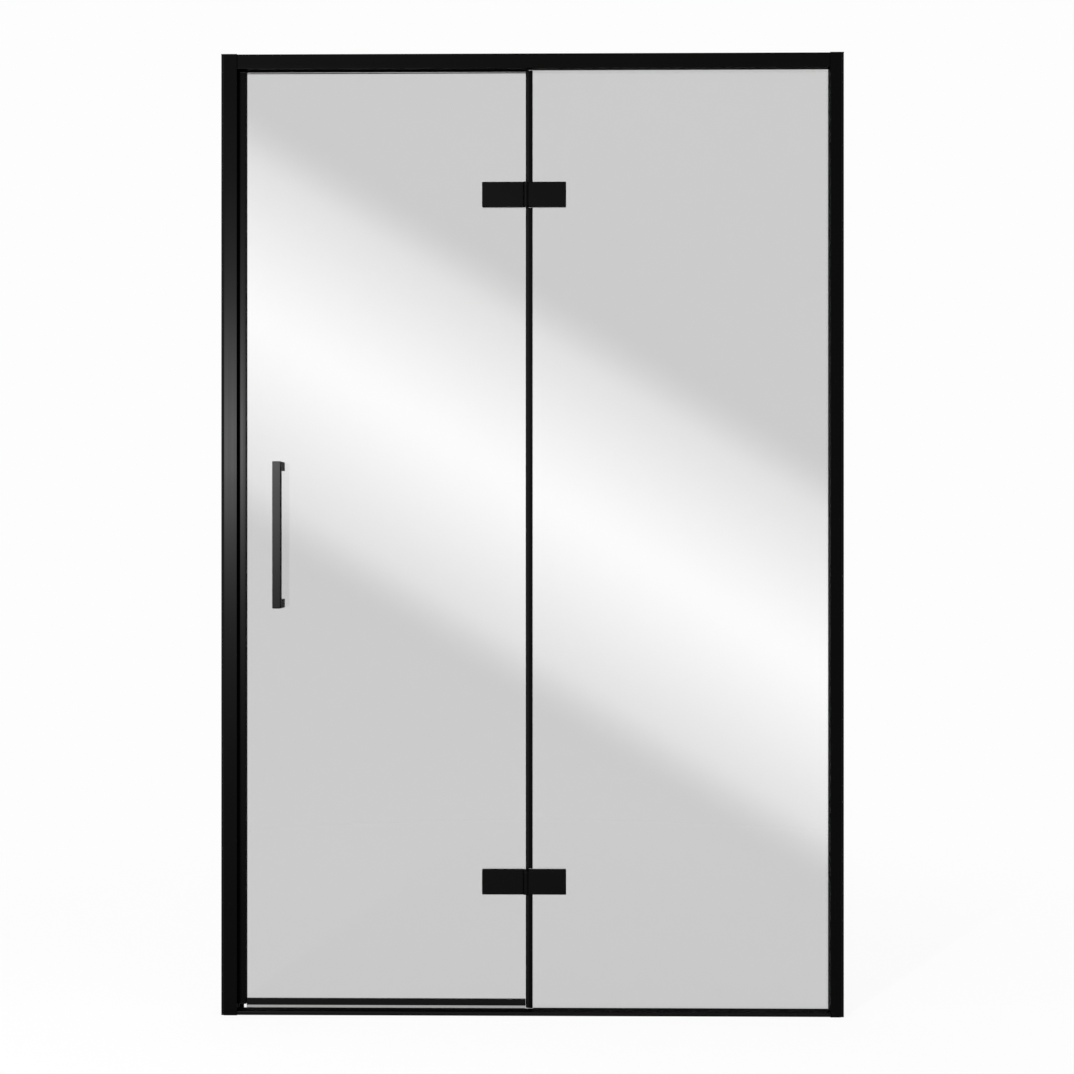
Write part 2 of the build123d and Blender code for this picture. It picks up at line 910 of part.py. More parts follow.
def hinge_screws(x):
    """Clamp screws of both hinges at one distance along the frame."""
    tip_y = leaf_front_y + clamp_skin + shank_clearance
    heights = [screw_z for z in hinge_centres.values() for screw_z in screw_zs(z)]
    return [
        socket_screw(x, z, tip_y, clamp_under_y, clamp_top_y, clamp_head_radius) for z in heights
    ]


side_strips, top_strips, bottom_strips = glazing_strips()
infill_right_x = edge_profile_left_x - end_clearance
magnet_half = magnet_width / 2
strip_lengths = strip_spans()

pieces = {
    "wall_channel_left": wall_channel(left_wall_x, 1, strike_channel_depth),
    "wall_channel_right": wall_channel(right_wall_x, -1, panel_channel_depth),
    "strike_jamb": strike_jamb(),
    "panel_jamb": panel_jamb(),
    "jamb_top_caps": group(
        [
            jamb_cap(strike_face_x, left_wall_x),
            jamb_cap(panel_face_x, right_wall_x),
        ]
    ),
    "header_rail": crosswise(header_section(), strike_face_x, panel_face_x),
    "header_infill_strip": crosswise(header_infill_section(), strike_face_x, infill_right_x),
    "threshold_rail": crosswise(threshold_section(), strike_face_x, panel_face_x),
    "threshold_infill_strip": crosswise(threshold_infill_section(), strike_face_x, infill_right_x),
    "header_corner_brackets": group(
        [
            corner_bracket("header", strike_face_x, 1),
            corner_bracket("header", panel_face_x, -1),
        ]
    ),
    "threshold_corner_brackets": group(
        [
            corner_bracket("threshold", strike_face_x, 1),
            corner_bracket("threshold", panel_face_x, -1),
        ]
    ),
    "strike_magnet_strip": block(
        strike_face_x - magnet_depth,
        strike_face_x,
        -magnet_half,
        magnet_half,
        threshold_crest,
        header_bottom_z,
    ),
    "strike_bumper_seal": block(
        strike_face_x + stop_lip - bumper_width,
        strike_face_x + stop_lip,
        stile_back + bumper_gap,
        back_y - extrusion_wall,
        stile_bottom_z,
        door_glass_top_z,
    ),
    "fixed_glass": fixed_glass(),
    "panel_jamb_gaskets": group(side_strips),
    "header_gaskets": group(top_strips),
    "threshold_gaskets": group(bottom_strips),
    "setting_blocks": group(setting_blocks()),
    "panel_edge_profile": group([upright(edge_profile_section(), *span) for span in strip_lengths]),
    "hinge_side_seal": upright(
        hinge_seal_section(), threshold_crest + end_clearance, header_bottom_z - end_clearance
    ),
    "panel_hinge_gaskets": group(hinge_gaskets("panel")),
    "panel_hinge_screws": group(hinge_screws(panel_screw_x)),
    "hinge_thrust_washers": group([thrust_washer(z) for z in hinge_centres.values()]),
    "door_glass": door_glass(),
    "leading_edge_profile": upright(
        stile_section(), stile_bottom_z + stile_cap, door_glass_top_z - stile_cap
    ),
    "leading_edge_caps": group(
        [
            stile_cap_solid(stile_bottom_z, stile_bottom_z + stile_cap),
            stile_cap_solid(door_glass_top_z - stile_cap, door_glass_top_z),
        ]
    ),
    "door_magnet_strip": block(
        stile_left_x,
        stile_left_x + magnet_depth,
        -magnet_half,
        magnet_half,
        stile_bottom_z + stile_cap,
        door_glass_top_z - stile_cap,
    ),
    "bottom_drip_seal": crosswise(
        drip_seal_section(), stile_right_x + end_clearance, door_glass_right_x
    ),
    "door_hinge_gaskets": group(hinge_gaskets("door")),
    "door_hinge_screws": group(hinge_screws(door_screw_x)),
    "pull_handle": pull_handle(),
    "handle_gaskets": group([handle_pad(z) for z in handle_bolt_zs]),
    "handle_sleeves": group([handle_sleeve(z) for z in handle_bolt_zs]),
    "handle_bolts": group([handle_bolt(z) for z in handle_bolt_zs]),
}
for level, z in hinge_centres.items():
    pieces[f"{level}_hinge_door_leaf"] = door_leaf(z)
    pieces[f"{level}_hinge_door_back_plate"] = back_plate(
        axis_x - door_leaf_reach, door_plate_right_x + back_plate_reach, door_screw_x, z
    )
    pieces[f"{level}_hinge_panel_leaf"] = panel_leaf(z)
    pieces[f"{level}_hinge_panel_back_plate"] = back_plate(
        panel_plate_left_x, axis_x + panel_leaf_reach, panel_screw_x, z
    )
    pieces[f"{level}_hinge_pin"] = hinge_pin(z)

os.makedirs("parts", exist_ok=True)
for name, shape in pieces.items():
    export_step(shape, f"parts/{name}.step")
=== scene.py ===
"""Pivot shower door in a black frame: looks, small fittings, studio and camera.

Lengths are in metres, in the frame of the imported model: +X to the right of the door,
+Y into the shower and +Z up, with the tray at z = 0.
"""

import math

import bpy
import numpy as np
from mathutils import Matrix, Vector


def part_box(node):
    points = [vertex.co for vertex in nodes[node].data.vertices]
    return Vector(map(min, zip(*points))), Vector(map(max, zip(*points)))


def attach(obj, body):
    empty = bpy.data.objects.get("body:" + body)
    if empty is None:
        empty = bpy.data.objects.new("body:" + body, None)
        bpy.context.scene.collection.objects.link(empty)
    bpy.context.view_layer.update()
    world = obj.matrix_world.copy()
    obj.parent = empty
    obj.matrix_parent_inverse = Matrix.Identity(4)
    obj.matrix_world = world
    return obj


MM = 0.001

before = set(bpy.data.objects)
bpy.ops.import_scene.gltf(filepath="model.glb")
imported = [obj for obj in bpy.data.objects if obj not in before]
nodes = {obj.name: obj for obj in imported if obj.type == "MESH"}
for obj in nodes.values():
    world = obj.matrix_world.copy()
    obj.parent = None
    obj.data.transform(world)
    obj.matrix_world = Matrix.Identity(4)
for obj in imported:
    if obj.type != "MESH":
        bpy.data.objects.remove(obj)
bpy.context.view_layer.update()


# Shader building blocks


def add_node(tree, kind, inputs=(), **settings):
    """Adds a node, sets its properties, and sets or links its inputs by name or index."""
    node = tree.nodes.new(kind)
    for name, value in settings.items():
        setattr(node, name, value)
    for key, value in dict(inputs).items():
        if isinstance(value, bpy.types.NodeSocket):
            tree.links.new(value, node.inputs[key])
        else:
            node.inputs[key].default_value = value
    return node


def maths(tree, operation, *values):
    """One Math node. Values are numbers or sockets."""
    return add_node(tree, "ShaderNodeMath", enumerate(values), operation=operation).outputs[0]


def centred(tree, noise, amount):
    """A noise of 0 to 1 turned into a change of plus or minus about half of amount."""
    shifted = maths(tree, "SUBTRACT", noise, 0.5)
    return maths(tree, "MULTIPLY", shifted, amount)


def new_group(name, inputs, outputs):
    """An empty node group with the sockets named in the two dicts of name: (type, default)."""
    tree = bpy.data.node_groups.new(name, "ShaderNodeTree")
    for socket, (kind, default) in inputs.items():
        made = tree.interface.new_socket(socket, in_out="INPUT", socket_type=kind)
        if default is not None:
            made.default_value = default
    for socket, kind in outputs.items():
        tree.interface.new_socket(socket, in_out="OUTPUT", socket_type=kind)
    return tree, tree.nodes.new("NodeGroupInput").outputs, tree.nodes.new("NodeGroupOutput").inputs


FLOAT = "NodeSocketFloat"
COLOUR = "NodeSocketColor"
VECTOR = "NodeSocketVector"


def object_noise(tree, scale, stretch=None, detail=2.0):
    """Noise over Object coordinates, stretched by a vector when one is given."""
    place = add_node(tree, "ShaderNodeTexCoord").outputs["Object"]
    if stretch is not None:
        place = add_node(
            tree,
            "ShaderNodeVectorMath",
            {0: place, 1: stretch},
            operation="MULTIPLY",
        ).outputs[0]
    return add_node(
        tree,
        "ShaderNodeTexNoise",
        {"Vector": place, "Scale": scale, "Detail": detail},
    ).outputs["Fac"]


CLOUD_SCALE = 7.0
WAVE_STRETCH = (2.0, 2.0, 5.0)


def coat_group():
    """Sprayed or moulded skin: a fine grain, faint long streaks and slow cloudy changes.

    The height is grain plus streaks. Colour is the base colour times one plus the change.
    """
    tree, given, out = new_group(
        "fine_coat",
        {
            "Colour": (COLOUR, (0.01, 0.01, 0.01, 1.0)),
            "Colour Change": (FLOAT, 0.1),
            "Gloss": (FLOAT, 0.3),
            "Gloss Change": (FLOAT, 0.05),
            "Grain Scale": (FLOAT, 900.0),
            "Grain Depth": (FLOAT, 0.00001),
            "Streak Stretch": (VECTOR, (1.0, 1.0, 1.0)),
            "Streak Depth": (FLOAT, 0.0),
        },
        {"Colour": COLOUR, "Roughness": FLOAT, "Normal": VECTOR},
    )
    grain = object_noise(tree, given["Grain Scale"])
    cloud = object_noise(tree, CLOUD_SCALE, detail=3.0)
    streak = object_noise(tree, 1.0, given["Streak Stretch"], detail=3.0)
    change = centred(tree, cloud, given["Colour Change"])
    change = maths(tree, "ADD", change, centred(tree, grain, given["Colour Change"]))
    shade = maths(tree, "ADD", change, 1.0)
    tint = add_node(
        tree,
        "ShaderNodeVectorMath",
        {0: given["Colour"]},
        operation="SCALE",
    )
    tree.links.new(shade, tint.inputs["Scale"])
    tree.links.new(tint.outputs[0], out["Colour"])
    gloss = maths(tree, "ADD", centred(tree, cloud, given["Gloss Change"]), given["Gloss"])
    gloss = maths(tree, "ADD", centred(tree, streak, given["Gloss Change"]), gloss)
    tree.links.new(gloss, out["Roughness"])
    height = maths(tree, "MULTIPLY", grain, given["Grain Depth"])
    height = maths(tree, "ADD", height, maths(tree, "MULTIPLY", streak, given["Streak Depth"]))
    bump = add_node(tree, "ShaderNodeBump", {"Strength": 1.0, "Distance": 1.0, "Height": height})
    tree.links.new(bump.outputs[0], out["Normal"])
    return tree


def glass_group():
    """Float glass: slow roller waves a few micrometres deep and a hardly visible colour drift."""
    tree, given, out = new_group(
        "toughened_glass",
        {
            "Colour": (COLOUR, (0.6, 0.6, 0.6, 1.0)),
            "Colour Change": (FLOAT, 0.01),
            "Wave Depth": (FLOAT, 0.000001),
        },
        {"Colour": COLOUR, "Normal": VECTOR},
    )
    wave = object_noise(tree, 1.0, WAVE_STRETCH, detail=0.0)
    shade = maths(tree, "ADD", centred(tree, wave, given["Colour Change"]), 1.0)
    tint = add_node(
        tree,
        "ShaderNodeVectorMath",
        {0: given["Colour"]},
        operation="SCALE",
    )
    tree.links.new(shade, tint.inputs["Scale"])
    tree.links.new(tint.outputs[0], out["Colour"])
    height = maths(tree, "MULTIPLY", wave, given["Wave Depth"])
    bump = add_node(tree, "ShaderNodeBump", {"Strength": 1.0, "Distance": 1.0, "Height": height})
    tree.links.new(bump.outputs[0], out["Normal"])
    return tree


coat = coat_group()
waves = glass_group()

# Streaks are fine across a profile and long along it, in noise cells per metre.
ACROSS = 900.0
ALONG = 1.5
ALONG_Z = (ACROSS, ACROSS, ALONG)
ALONG_X = (ALONG, ACROSS, ACROSS)
STREAK_DEPTH = 0.000001


def new_material(name):
    """A material with its Principled shader alone."""
    material = bpy.data.materials.new(name)
    material.use_nodes = True
    tree = material.node_tree
    return material, tree, tree.nodes["Principled BSDF"]


def coated(name, shade, gloss, metallic=0.0, level=0.5, edge=1.0, streaks=None):
    """A finish built on the fine coat group. shade is a linear grey, or a colour of three."""
    material, tree, shader = new_material(name)
    colour = (shade,) * 3 if isinstance(shade, float) else shade
    inputs = {"Colour": (*colour, 1.0), "Gloss": gloss}
    if streaks is not None:
        inputs["Streak Stretch"] = streaks
        inputs["Streak Depth"] = STREAK_DEPTH
    skin = add_node(tree, "ShaderNodeGroup", node_tree=coat)
    for key, value in inputs.items():
        skin.inputs[key].default_value = value
    tree.links.new(skin.outputs["Colour"], shader.inputs["Base Color"])
    tree.links.new(skin.outputs["Roughness"], shader.inputs["Roughness"])
    tree.links.new(skin.outputs["Normal"], shader.inputs["Normal"])
    shader.inputs["Metallic"].default_value = metallic
    shader.inputs["Specular IOR Level"].default_value = level
    shader.inputs["Specular Tint"].default_value = (edge, edge, edge, 1.0)
    material.diffuse_color = (*colour, 1.0)
    return material


BLACK_METAL = {"metallic": 0.85, "level": 0.1, "edge": 0.1}

# Painted shade: satin_black_aluminium, on the jambs and the other extrusions that keep it, is a
# shaded copy of the frame's coat. Its colour is painted darker (0.0034 against the rail's 0.0042)
# so that the key lamp's highlight on them reads dimmer.
finishes = {
    "satin_black_aluminium": coated(
        "satin_black_aluminium", 0.0034, 0.30, **BLACK_METAL, streaks=ALONG_Z
    ),
    "matt_black_channel": coated("matt_black_channel", 0.0018, 0.55, level=0.04),
    "satin_black_hardware": coated("satin_black_hardware", 0.0048, 0.31, **BLACK_METAL),
    "black_plastic": coated("black_plastic", 0.004, 0.5, level=0.08),
    "clear_grey_plastic": coated("clear_grey_plastic", 0.45, 0.4, level=0.4),
    "black_rubber": coated("black_rubber", 0.0022, 0.6, level=0.06),
    "magnetic_strip": coated("magnetic_strip", (0.006, 0.005, 0.005), 0.55, level=0.1),
    "black_screw_steel": coated("black_screw_steel", 0.008, 0.35, **BLACK_METAL),
    "stainless_steel": coated("stainless_steel", 0.6, 0.28, metallic=1.0),
}
rail_finish = coated("satin_black_rail", 0.0042, 0.31, **BLACK_METAL, streaks=ALONG_X)
# Painted light: the sill's copy of the frame's coat is given a lighter colour (0.0075) than the
# rail's (0.0042).
sill_finish_painted_lighter = coated("satin_black_sill_painted_lighter", 0.0075, 0.33, **BLACK_METAL, streaks=ALONG_X)

GLASS_TINT = 0.592
GLASS_IOR = 1.5
VINYL_TINT = 0.36
VINYL_ROUGHNESS = 0.12
VINYL_IOR = 1.45


def pane_glass():
    """Clear toughened glass with a light neutral grey tint."""
    material, tree, shader = new_material("grey_tinted_glass")
    body = add_node(tree, "ShaderNodeGroup", node_tree=waves)
    body.inputs["Colour"].default_value = (GLASS_TINT, GLASS_TINT, GLASS_TINT, 1.0)
    tree.links.new(body.outputs["Colour"], shader.inputs["Base Color"])
    tree.links.new(body.outputs["Normal"], shader.inputs["Normal"])
    shader.inputs["Roughness"].default_value = 0.0
    shader.inputs["IOR"].default_value = GLASS_IOR
    shader.inputs["Transmission Weight"].default_value = 1.0
    material.diffuse_color = (0.8, 0.8, 0.8, 0.4)
    return material


finishes["grey_tinted_glass"] = pane_glass()

OWN_FINISH = {
    "header_rail": rail_finish,
    "header_infill_strip": rail_finish,
    "threshold_rail": sill_finish_painted_lighter,
    "threshold_infill_strip": sill_finish_painted_lighter,
}
for name, obj in nodes.items():
    for place in obj.material_slots:
        place.material = OWN_FINISH.get(name, finishes[place.material.name])


# Small fittings and flexible lips


def mesh_object(name, points, faces):
    """A mesh object at the origin, from an array of points and a list or array of faces."""
    mesh = bpy.data.meshes.new(name)
    mesh.from_pydata(np.asarray(points).tolist(), [], [list(map(int, face)) for face in faces])
    mesh.validate()
    obj = bpy.data.objects.new(name, mesh)
    bpy.context.scene.collection.objects.link(obj)
    return obj


def fitting(name, points, faces, material, slot, body):
    """A piece of the door or frame: meshed, finished and riding on its body."""
    obj = mesh_object(name, points, faces)
    obj.data.materials.append(material)
    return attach(obj, body)


def ring_faces(rows, columns):
    """Quads between rings of points that run row by row. The last column joins the first."""
    row = np.arange(rows - 1)[:, None]
    column = np.arange(columns)[None, :]
    after = (column + 1) % columns
    corners = [row * columns + column, row * columns + after]
    corners += [(row + 1) * columns + after, (row + 1) * columns + column]
    return np.stack(corners, axis=-1).reshape(-1, 4)


def strip_along(axis, profile, start, end):
    """A prism: a closed profile of two columns, carried from start to end along one axis.

    The profile's columns are the other two axes in order. Both ends are closed by one face.
    """
    others = [i for i in range(3) if i != axis]
    count = len(profile)
    points = np.zeros((2, count, 3))
    points[:, :, others] = np.array(profile)[None, :, :] * MM
    points[0, :, axis] = start * MM
    points[1, :, axis] = end * MM
    faces = ring_faces(2, count).tolist()
    faces += [list(range(count))[::-1], list(range(count, 2 * count))]
    return points.reshape(-1, 3), faces


def blade(middle, thickness, turn=8):
    """Closed outline round a polyline: half the thickness to each side, with round ends.

    Each side point is the middle point plus or minus the normal of its neighbours' chord.
    """
    middle = np.array(middle, float)
    along = np.gradient(middle, axis=0)
    along /= np.linalg.norm(along, axis=1)[:, None]
    normal = np.stack([-along[:, 1], along[:, 0]], axis=1) * thickness / 2
    angles = np.linspace(0.0, math.pi, turn)[1:-1, None]
    tip = middle[-1] + np.cos(angles) * normal[-1] + np.sin(angles) * along[-1] * thickness / 2
    root = middle[0] - np.cos(angles) * normal[0] - np.sin(angles) * along[0] * thickness / 2
    return np.concatenate([middle + normal, tip, (middle - normal)[::-1], root])


def smoothed(value, low, high):
    """Smooth step from 0 at low to 1 at high."""
    t = np.clip((value - low) / (high - low), 0.0, 1.0)
    return t * t * (3.0 - 2.0 * t)


HEAD_RADIUS = 3.3
HEAD_RISE = 1.0
HEAD_RIM = 0.3
RECESS_DEPTH = 0.9
ARM_HALF_SHARE = 0.16
ARM_LENGTH_SHARE = 0.62
ARM_SOFT_SHARE = 0.05


def cross_head(centre, radius, rise, recess, rings=22, segments=64):
    """A raised screw head with a cross recess, seen from +Y, on a polar grid.

    The height is the rim plus rise (1 - (r / radius)^3), less the recess inside a cross. The
    cross's half width and length are shares of the radius. The rim goes down to the seat.
    """
    r = np.append(np.linspace(0.0, 1.0, rings), 1.0)[:, None] * radius
    angle = np.linspace(0.0, 2.0 * math.pi, segments, endpoint=False)[None, :]
    x = r * np.cos(angle)
    z = r * np.sin(angle)
    arm = ARM_HALF_SHARE * radius
    reach = ARM_LENGTH_SHARE * radius
    soft = ARM_SOFT_SHARE * radius
    near_x = 1.0 - smoothed(np.abs(x), arm - soft, arm + soft)
    near_z = 1.0 - smoothed(np.abs(z), arm - soft, arm + soft)
    inside = 1.0 - smoothed(r, reach - soft, reach + soft)
    cross = np.maximum(near_x, near_z) * inside
    height = rise * (1.0 - (r / radius) ** 3) + HEAD_RIM - recess * cross
    height[-1] = 0.0
    points = np.stack([centre[0] + x, centre[1] + height, centre[2] + z], axis=-1) * MM
    rows = rings + 1
    faces = ring_faces(rows, segments)[segments:].tolist()
    middle = [[0, segments + (i + 1) % segments, segments + i] for i in range(segments)]
    back = list(range((rows - 1) * segments, rows * segments))
    return points.reshape(-1, 3), [face[::-1] for face in faces] + middle + [back]


def screw_heads(name, centres, radius, rise, recess, material, slot, body):
    """Several equal screw heads as one piece."""
    points, faces = [], []
    for centre in centres:
        head_points, head_faces = cross_head(centre, radius, rise, recess)
        offset = sum(len(part) for part in points)
        points.append(head_points)
        faces += [[offset + corner for corner in face] for face in head_faces]
    return fitting(name, np.concatenate(points), faces, material, slot, body)


def clear_vinyl():
    """Semi-clear soft vinyl of the wipe under the door."""
    material, tree, shader = new_material("smoky_vinyl")
    skin = add_node(tree, "ShaderNodeGroup", node_tree=coat)
    skin.inputs["Colour"].default_value = (VINYL_TINT, VINYL_TINT, VINYL_TINT, 1.0)
    skin.inputs["Gloss"].default_value = VINYL_ROUGHNESS
    tree.links.new(skin.outputs["Colour"], shader.inputs["Base Color"])
    tree.links.new(skin.outputs["Roughness"], shader.inputs["Roughness"])
    shader.inputs["IOR"].default_value = VINYL_IOR
    shader.inputs["Transmission Weight"].default_value = 1.0
    return material


def mm_box(node):
    """A CAD node's low and high corners in millimetres."""
    low_corner, high_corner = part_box(node)
    return np.array(low_corner) / MM, np.array(high_corner) / MM


# Sizes and places of the fittings, in millimetres
WIPE_Y = -4.25
WIPE_LEAN_IN = 0.15
WIPE_LEAN_OUT = 0.1
WIPE_HOLD = 1.0
WIPE_TIP_Z = 9.8
WIPE_THICKNESS = 0.5

seal_low, seal_high = mm_box("bottom_drip_seal")
wipe_path = [
    (WIPE_Y + WIPE_LEAN_IN, seal_low[2] + WIPE_HOLD),
    (WIPE_Y, seal_low[2] - WIPE_HOLD),
    (WIPE_Y - WIPE_LEAN_OUT, WIPE_TIP_Z),
]
fitting(
    "bottom_wipe_fin",
    *strip_along(0, blade(wipe_path, WIPE_THICKNESS), seal_low[0], seal_high[0]),
    clear_vinyl(),
    "clear_grey_plastic",
    "door",
)

LIP_ROOT_Y = 5.4
LIP_MIDDLE_Y = 5.2
LIP_TIP_Y = 4.8
LIP_HOLD = 0.4
LIP_MIDDLE_DROP = 1.0
LIP_DROP = 3.1
LIP_THICKNESS = 0.9
LIP_END_GAP = 8.0

infill_low, infill_high = mm_box("header_infill_strip")
lip_path = [
    (LIP_ROOT_Y, infill_low[2] + LIP_HOLD),
    (LIP_MIDDLE_Y, infill_low[2] - LIP_MIDDLE_DROP),
    (LIP_TIP_Y, infill_low[2] - LIP_DROP),
]
lip_start = infill_low[0] + LIP_END_GAP
fitting(
    "door_top_wipe",
    *strip_along(0, blade(lip_path, LIP_THICKNESS), lip_start, infill_high[0]),
    finishes["black_rubber"],
    "black_rubber",
    "frame",
)

BEAD_OUT = 0.8
BEAD_HOLD = 0.2
BEAD_FRONT_Y = -5.2
BEAD_SLOPE_Y = -5.0
BEAD_NOSE_Y = -4.3
BEAD_SLOPE_SHARE = 0.7
GLASS_SIDE_Y = -3.02

gasket_low, gasket_high = mm_box("panel_jamb_gaskets")
jamb_low, jamb_high = mm_box("panel_jamb")
bead = [
    (jamb_low[0] + BEAD_HOLD, BEAD_FRONT_Y),
    (jamb_low[0] - BEAD_SLOPE_SHARE * BEAD_OUT, BEAD_SLOPE_Y),
    (jamb_low[0] - BEAD_OUT, BEAD_NOSE_Y),
    (jamb_low[0] - BEAD_OUT, GLASS_SIDE_Y),
    (jamb_low[0] + BEAD_HOLD, GLASS_SIDE_Y),
]
fitting(
    "panel_jamb_bead",
    *strip_along(2, bead, gasket_low[2], gasket_high[2]),
    finishes["black_rubber"],
    "black_rubber",
    "frame",
)

SILL_BEAD_RISE = 1.1
SILL_BEAD_HOLD = 0.6
SILL_BEAD_SHOULDER = 0.3
SILL_BEAD_FRONT_Y = -4.9
SILL_BEAD_SHOULDER_Y = -4.6
SILL_BEAD_TOP_Y = -3.7

sill_gasket_low, sill_gasket_high = mm_box("threshold_gaskets")
sill_bead = [
    (SILL_BEAD_FRONT_Y, sill_gasket_high[2] - SILL_BEAD_HOLD),
    (GLASS_SIDE_Y, sill_gasket_high[2] - SILL_BEAD_HOLD),
    (GLASS_SIDE_Y, sill_gasket_high[2] + SILL_BEAD_RISE),
    (SILL_BEAD_TOP_Y, sill_gasket_high[2] + SILL_BEAD_RISE),
    (SILL_BEAD_SHOULDER_Y, sill_gasket_high[2] + SILL_BEAD_SHOULDER),
]
fitting(
    "panel_sill_bead",
    *strip_along(0, sill_bead, sill_gasket_low[0], sill_gasket_high[0]),
    finishes["black_rubber"],
    "black_rubber",
    "frame",
)

SCREW_HEIGHTS = (250.0, 925.0, 1600.0)
SCREW_COLUMNS = (-586.0, 588.0)

screw_heads(
    "width_adjustment_screws",
    [(x, jamb_high[1], z) for x in SCREW_COLUMNS for z in SCREW_HEIGHTS],
    HEAD_RADIUS,
    HEAD_RISE,
    RECESS_DEPTH,
    finishes["black_screw_steel"],
    "black_screw_steel",
    "frame",
)


# Studio

WHITE = 0.982
AMBIENT = 0.85


def camera_like(tree):
    """1 for rays that show the background: camera, glossy and transmission rays."""
    path = add_node(tree, "ShaderNodeLightPath")
    seen = maths(tree, "ADD", path.outputs["Is Camera Ray"], path.outputs["Is Glossy Ray"])
    seen = maths(tree, "ADD", seen, path.outputs["Is Transmission Ray"])
    return maths(tree, "MINIMUM", seen, 1.0)


def set_world(ambient):
    """White to the rays that show the background, and a plain grey light to the others."""
    world = bpy.data.worlds.new("studio")
    bpy.context.scene.world = world
    world.use_nodes = True
    tree = world.node_tree
    back = tree.nodes["Background"]
    back.inputs["Color"].default_value = (1.0, 1.0, 1.0, 1.0)
    seen = camera_like(tree)
    strength = maths(tree, "MULTIPLY_ADD", seen, WHITE - ambient, ambient)
    tree.links.new(strength, back.inputs["Strength"])


set_world(AMBIENT)


def floor_material(shadow_share, near, far):
    """Pale floor. Rays that show the background see white, less a share that takes shadows.

    The share is shadow_share near the door and fades to nothing between the radii near and far.
    """
    material, tree, shader = new_material("pale_floor")
    shader.inputs["Base Color"].default_value = (0.85, 0.85, 0.85, 1.0)
    shader.inputs["Roughness"].default_value = 0.9
    shader.inputs["Specular IOR Level"].default_value = 0.0
    place = add_node(tree, "ShaderNodeTexCoord").outputs["Object"]
    radius = add_node(tree, "ShaderNodeVectorMath", {0: place}, operation="LENGTH").outputs["Value"]
    fade = add_node(
        tree,
        "ShaderNodeMapRange",
        {
            "Value": radius,
            "From Min": near,
            "From Max": far,
            "To Min": 1.0 - shadow_share,
            "To Max": 1.0,
        },
        interpolation_type="SMOOTHSTEP",
    ).outputs["Result"]
    white = add_node(
        tree,
        "ShaderNodeEmission",
        {"Color": (1.0, 1.0, 1.0, 1.0), "Strength": WHITE},
    ).outputs[0]
    share = maths(tree, "MULTIPLY", camera_like(tree), fade)
    mixed = add_node(
        tree,
        "ShaderNodeMixShader",
        {0: share, 1: shader.outputs[0], 2: white},
    ).outputs[0]
    tree.links.new(mixed, tree.nodes["Material Output"].inputs["Surface"])
    material.cycles.emission_sampling = "NONE"
    return material


FLOOR_HALF = 40.0
FLOOR_Z = -0.0004
SHADOW_SHARE = 0.1
SHADOW_NEAR = 0.9
SHADOW_FAR = 2.2
floor_corners = [
    (-FLOOR_HALF, -FLOOR_HALF, 0.0),
    (FLOOR_HALF, -FLOOR_HALF, 0.0),
    (FLOOR_HALF, FLOOR_HALF, 0.0),
    (-FLOOR_HALF, FLOOR_HALF, 0.0),
]
studio_floor = mesh_object("studio_floor", floor_corners, [(0, 1, 2, 3)])
studio_floor.location.z = FLOOR_Z
studio_floor.data.materials.append(floor_material(SHADOW_SHARE, SHADOW_NEAR, SHADOW_FAR))


def add_lamp(name, data, place):
    """A lamp of the studio, unseen by the camera itself."""
    lamp = bpy.data.objects.new(name, data)
    bpy.context.scene.collection.objects.link(lamp)
    lamp.location = place
    lamp.visible_camera = False
    return lamp


# The key lamp is a point, so the glass mirrors no bright patch of it.
KEY_INTENSITY = 32.5
KEY_PLACE = (-1.225, -3.1, 1.30)
key_data = bpy.data.lights.new("key_lamp", "POINT")
key_data.energy = 4.0 * math.pi * KEY_INTENSITY
key_data.shadow_soft_size = 0.0
add_lamp("key_lamp", key_data, KEY_PLACE)

TOP_SIZE = (3.0, 2.0)
TOP_RADIANCE = 1.2
TOP_PLACE = np.array((0.0, -0.6, 4.5))
TOP_TARGET = np.array((0.0, 0.0, 1.0))
top_data = bpy.data.lights.new("top_lamp", "AREA")
top_data.shape = "RECTANGLE"
top_data.size, top_data.size_y = TOP_SIZE
top_data.energy = TOP_RADIANCE * math.pi * TOP_SIZE[0] * TOP_SIZE[1]
top = add_lamp("top_lamp", top_data, TOP_PLACE)
top.rotation_mode = "QUATERNION"
top.rotation_quaternion = Vector(TOP_TARGET - TOP_PLACE).to_track_quat("-Z", "Y")

# Painted reflection: a diagonal sheen on the glass, painted by a glowing card behind it that only
# transmission rays see

CAMERA = np.array((0.0486, -3.2, 0.9205))
BAND_Y = 1.0
BAND_START = (-0.492, 1.308)
BAND_END = (0.582, 0.652)
BAND_HALF_WIDTH = 0.418
BAND_PEAK = 0.735
BAND_STEEPNESS = 0.8
BAND_ROUNDING = 0.01
BAND_CLOSES_FROM = 0.7
BAND_CLOSES_AT = 1.02


def beyond(x, z):
    """Where the camera's line through the glass at (x, z) meets the sheen's plane."""
    reach = BAND_Y / CAMERA[1]
    return x - reach * (x - CAMERA[0]), z - reach * (z - CAMERA[2])


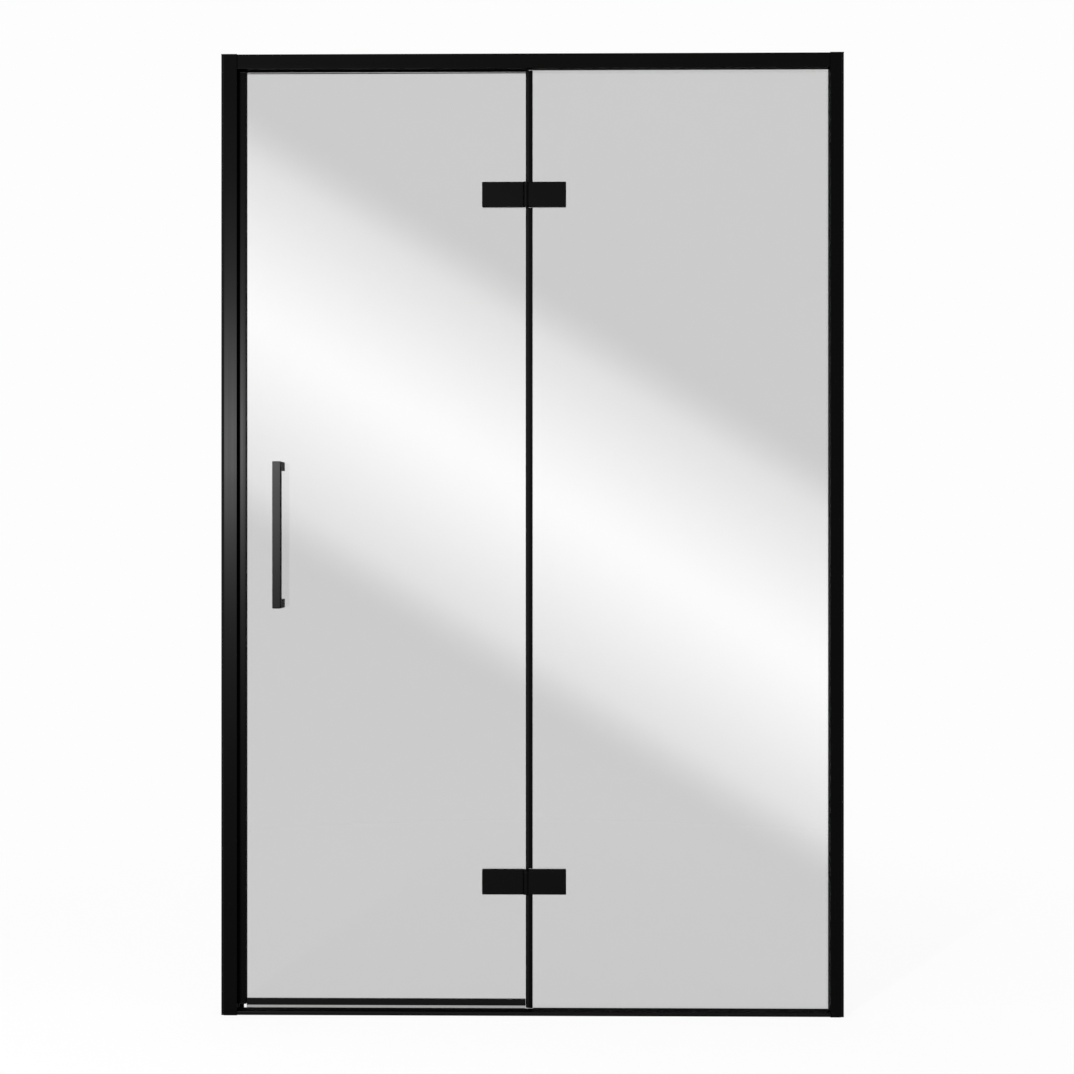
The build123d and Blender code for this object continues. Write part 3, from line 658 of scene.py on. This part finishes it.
def painted_sheen_material(start, end, half_width):
    """Light across a straight band, added to what transmission rays see behind it: a painted
    reflection, the sheen that the glass in front shows.

    t is the height from the band's centre line in half widths. The light is
    (1 - steepness sqrt(t^2 + rounding)) times a smooth step that closes it near t = 1.
    """
    material = bpy.data.materials.new("painted_sheen_light")
    material.use_nodes = True
    tree = material.node_tree
    tree.nodes.clear()
    along = np.array(end) - np.array(start)
    slope = along[1] / along[0]
    place = add_node(tree, "ShaderNodeTexCoord").outputs["Object"]
    axes = add_node(tree, "ShaderNodeSeparateXYZ", {0: place}).outputs
    line = maths(tree, "MULTIPLY_ADD", axes["X"], slope, start[1] - slope * start[0])
    t = maths(tree, "DIVIDE", maths(tree, "SUBTRACT", axes["Z"], line), half_width)
    square = maths(tree, "MULTIPLY_ADD", t, t, BAND_ROUNDING)
    slack = maths(tree, "MULTIPLY_ADD", maths(tree, "SQRT", square), -BAND_STEEPNESS, 1.0)
    edge = add_node(
        tree,
        "ShaderNodeMapRange",
        {
            "Value": maths(tree, "ABSOLUTE", t),
            "From Min": BAND_CLOSES_FROM,
            "From Max": BAND_CLOSES_AT,
            "To Min": 1.0,
            "To Max": 0.0,
        },
        interpolation_type="SMOOTHSTEP",
    ).outputs["Result"]
    path = add_node(tree, "ShaderNodeLightPath")
    strength = maths(tree, "MULTIPLY", maths(tree, "MULTIPLY", slack, edge), BAND_PEAK)
    strength = maths(tree, "MULTIPLY", strength, path.outputs["Is Transmission Ray"])
    light = add_node(tree, "ShaderNodeEmission", {"Strength": strength}).outputs[0]
    clear = add_node(tree, "ShaderNodeBsdfTransparent").outputs[0]
    both = add_node(tree, "ShaderNodeAddShader", {0: light, 1: clear}).outputs[0]
    out = add_node(tree, "ShaderNodeOutputMaterial")
    tree.links.new(both, out.inputs["Surface"])
    material.cycles.emission_sampling = "NONE"
    return material


CARD_HALF = 12.0
CARD_TOP = 9.0
card_points = [
    (-CARD_HALF, BAND_Y, 0.0),
    (CARD_HALF, BAND_Y, 0.0),
    (CARD_HALF, BAND_Y, CARD_TOP),
    (-CARD_HALF, BAND_Y, CARD_TOP),
]
# The card glows though it is no lamp: it paints the glass's diagonal reflection.
painted_sheen_card = mesh_object("painted_sheen_card", card_points, [(0, 1, 2, 3)])
band_scale = 1.0 - BAND_Y / CAMERA[1]
painted_sheen_card.data.materials.append(
    painted_sheen_material(beyond(*BAND_START), beyond(*BAND_END), BAND_HALF_WIDTH * band_scale)
)
painted_sheen_card.visible_camera = False
painted_sheen_card.visible_diffuse = False
painted_sheen_card.visible_glossy = False
painted_sheen_card.visible_shadow = False

# Camera

LENS = 55.436
SENSOR_WIDTH = 36.0
VIEW_DISTANCE = 200.0
YAW = math.radians(0.699)

camera_data = bpy.data.cameras.new("photo_camera")
camera_data.lens = LENS
camera_data.sensor_width = SENSOR_WIDTH
camera_data.clip_end = VIEW_DISTANCE
camera = bpy.data.objects.new("photo_camera", camera_data)
bpy.context.scene.collection.objects.link(camera)
camera.location = CAMERA
camera.rotation_euler = (math.radians(90.0), 0.0, YAW)
bpy.context.scene.camera = camera

bpy.context.scene.view_settings.view_transform = "Standard"
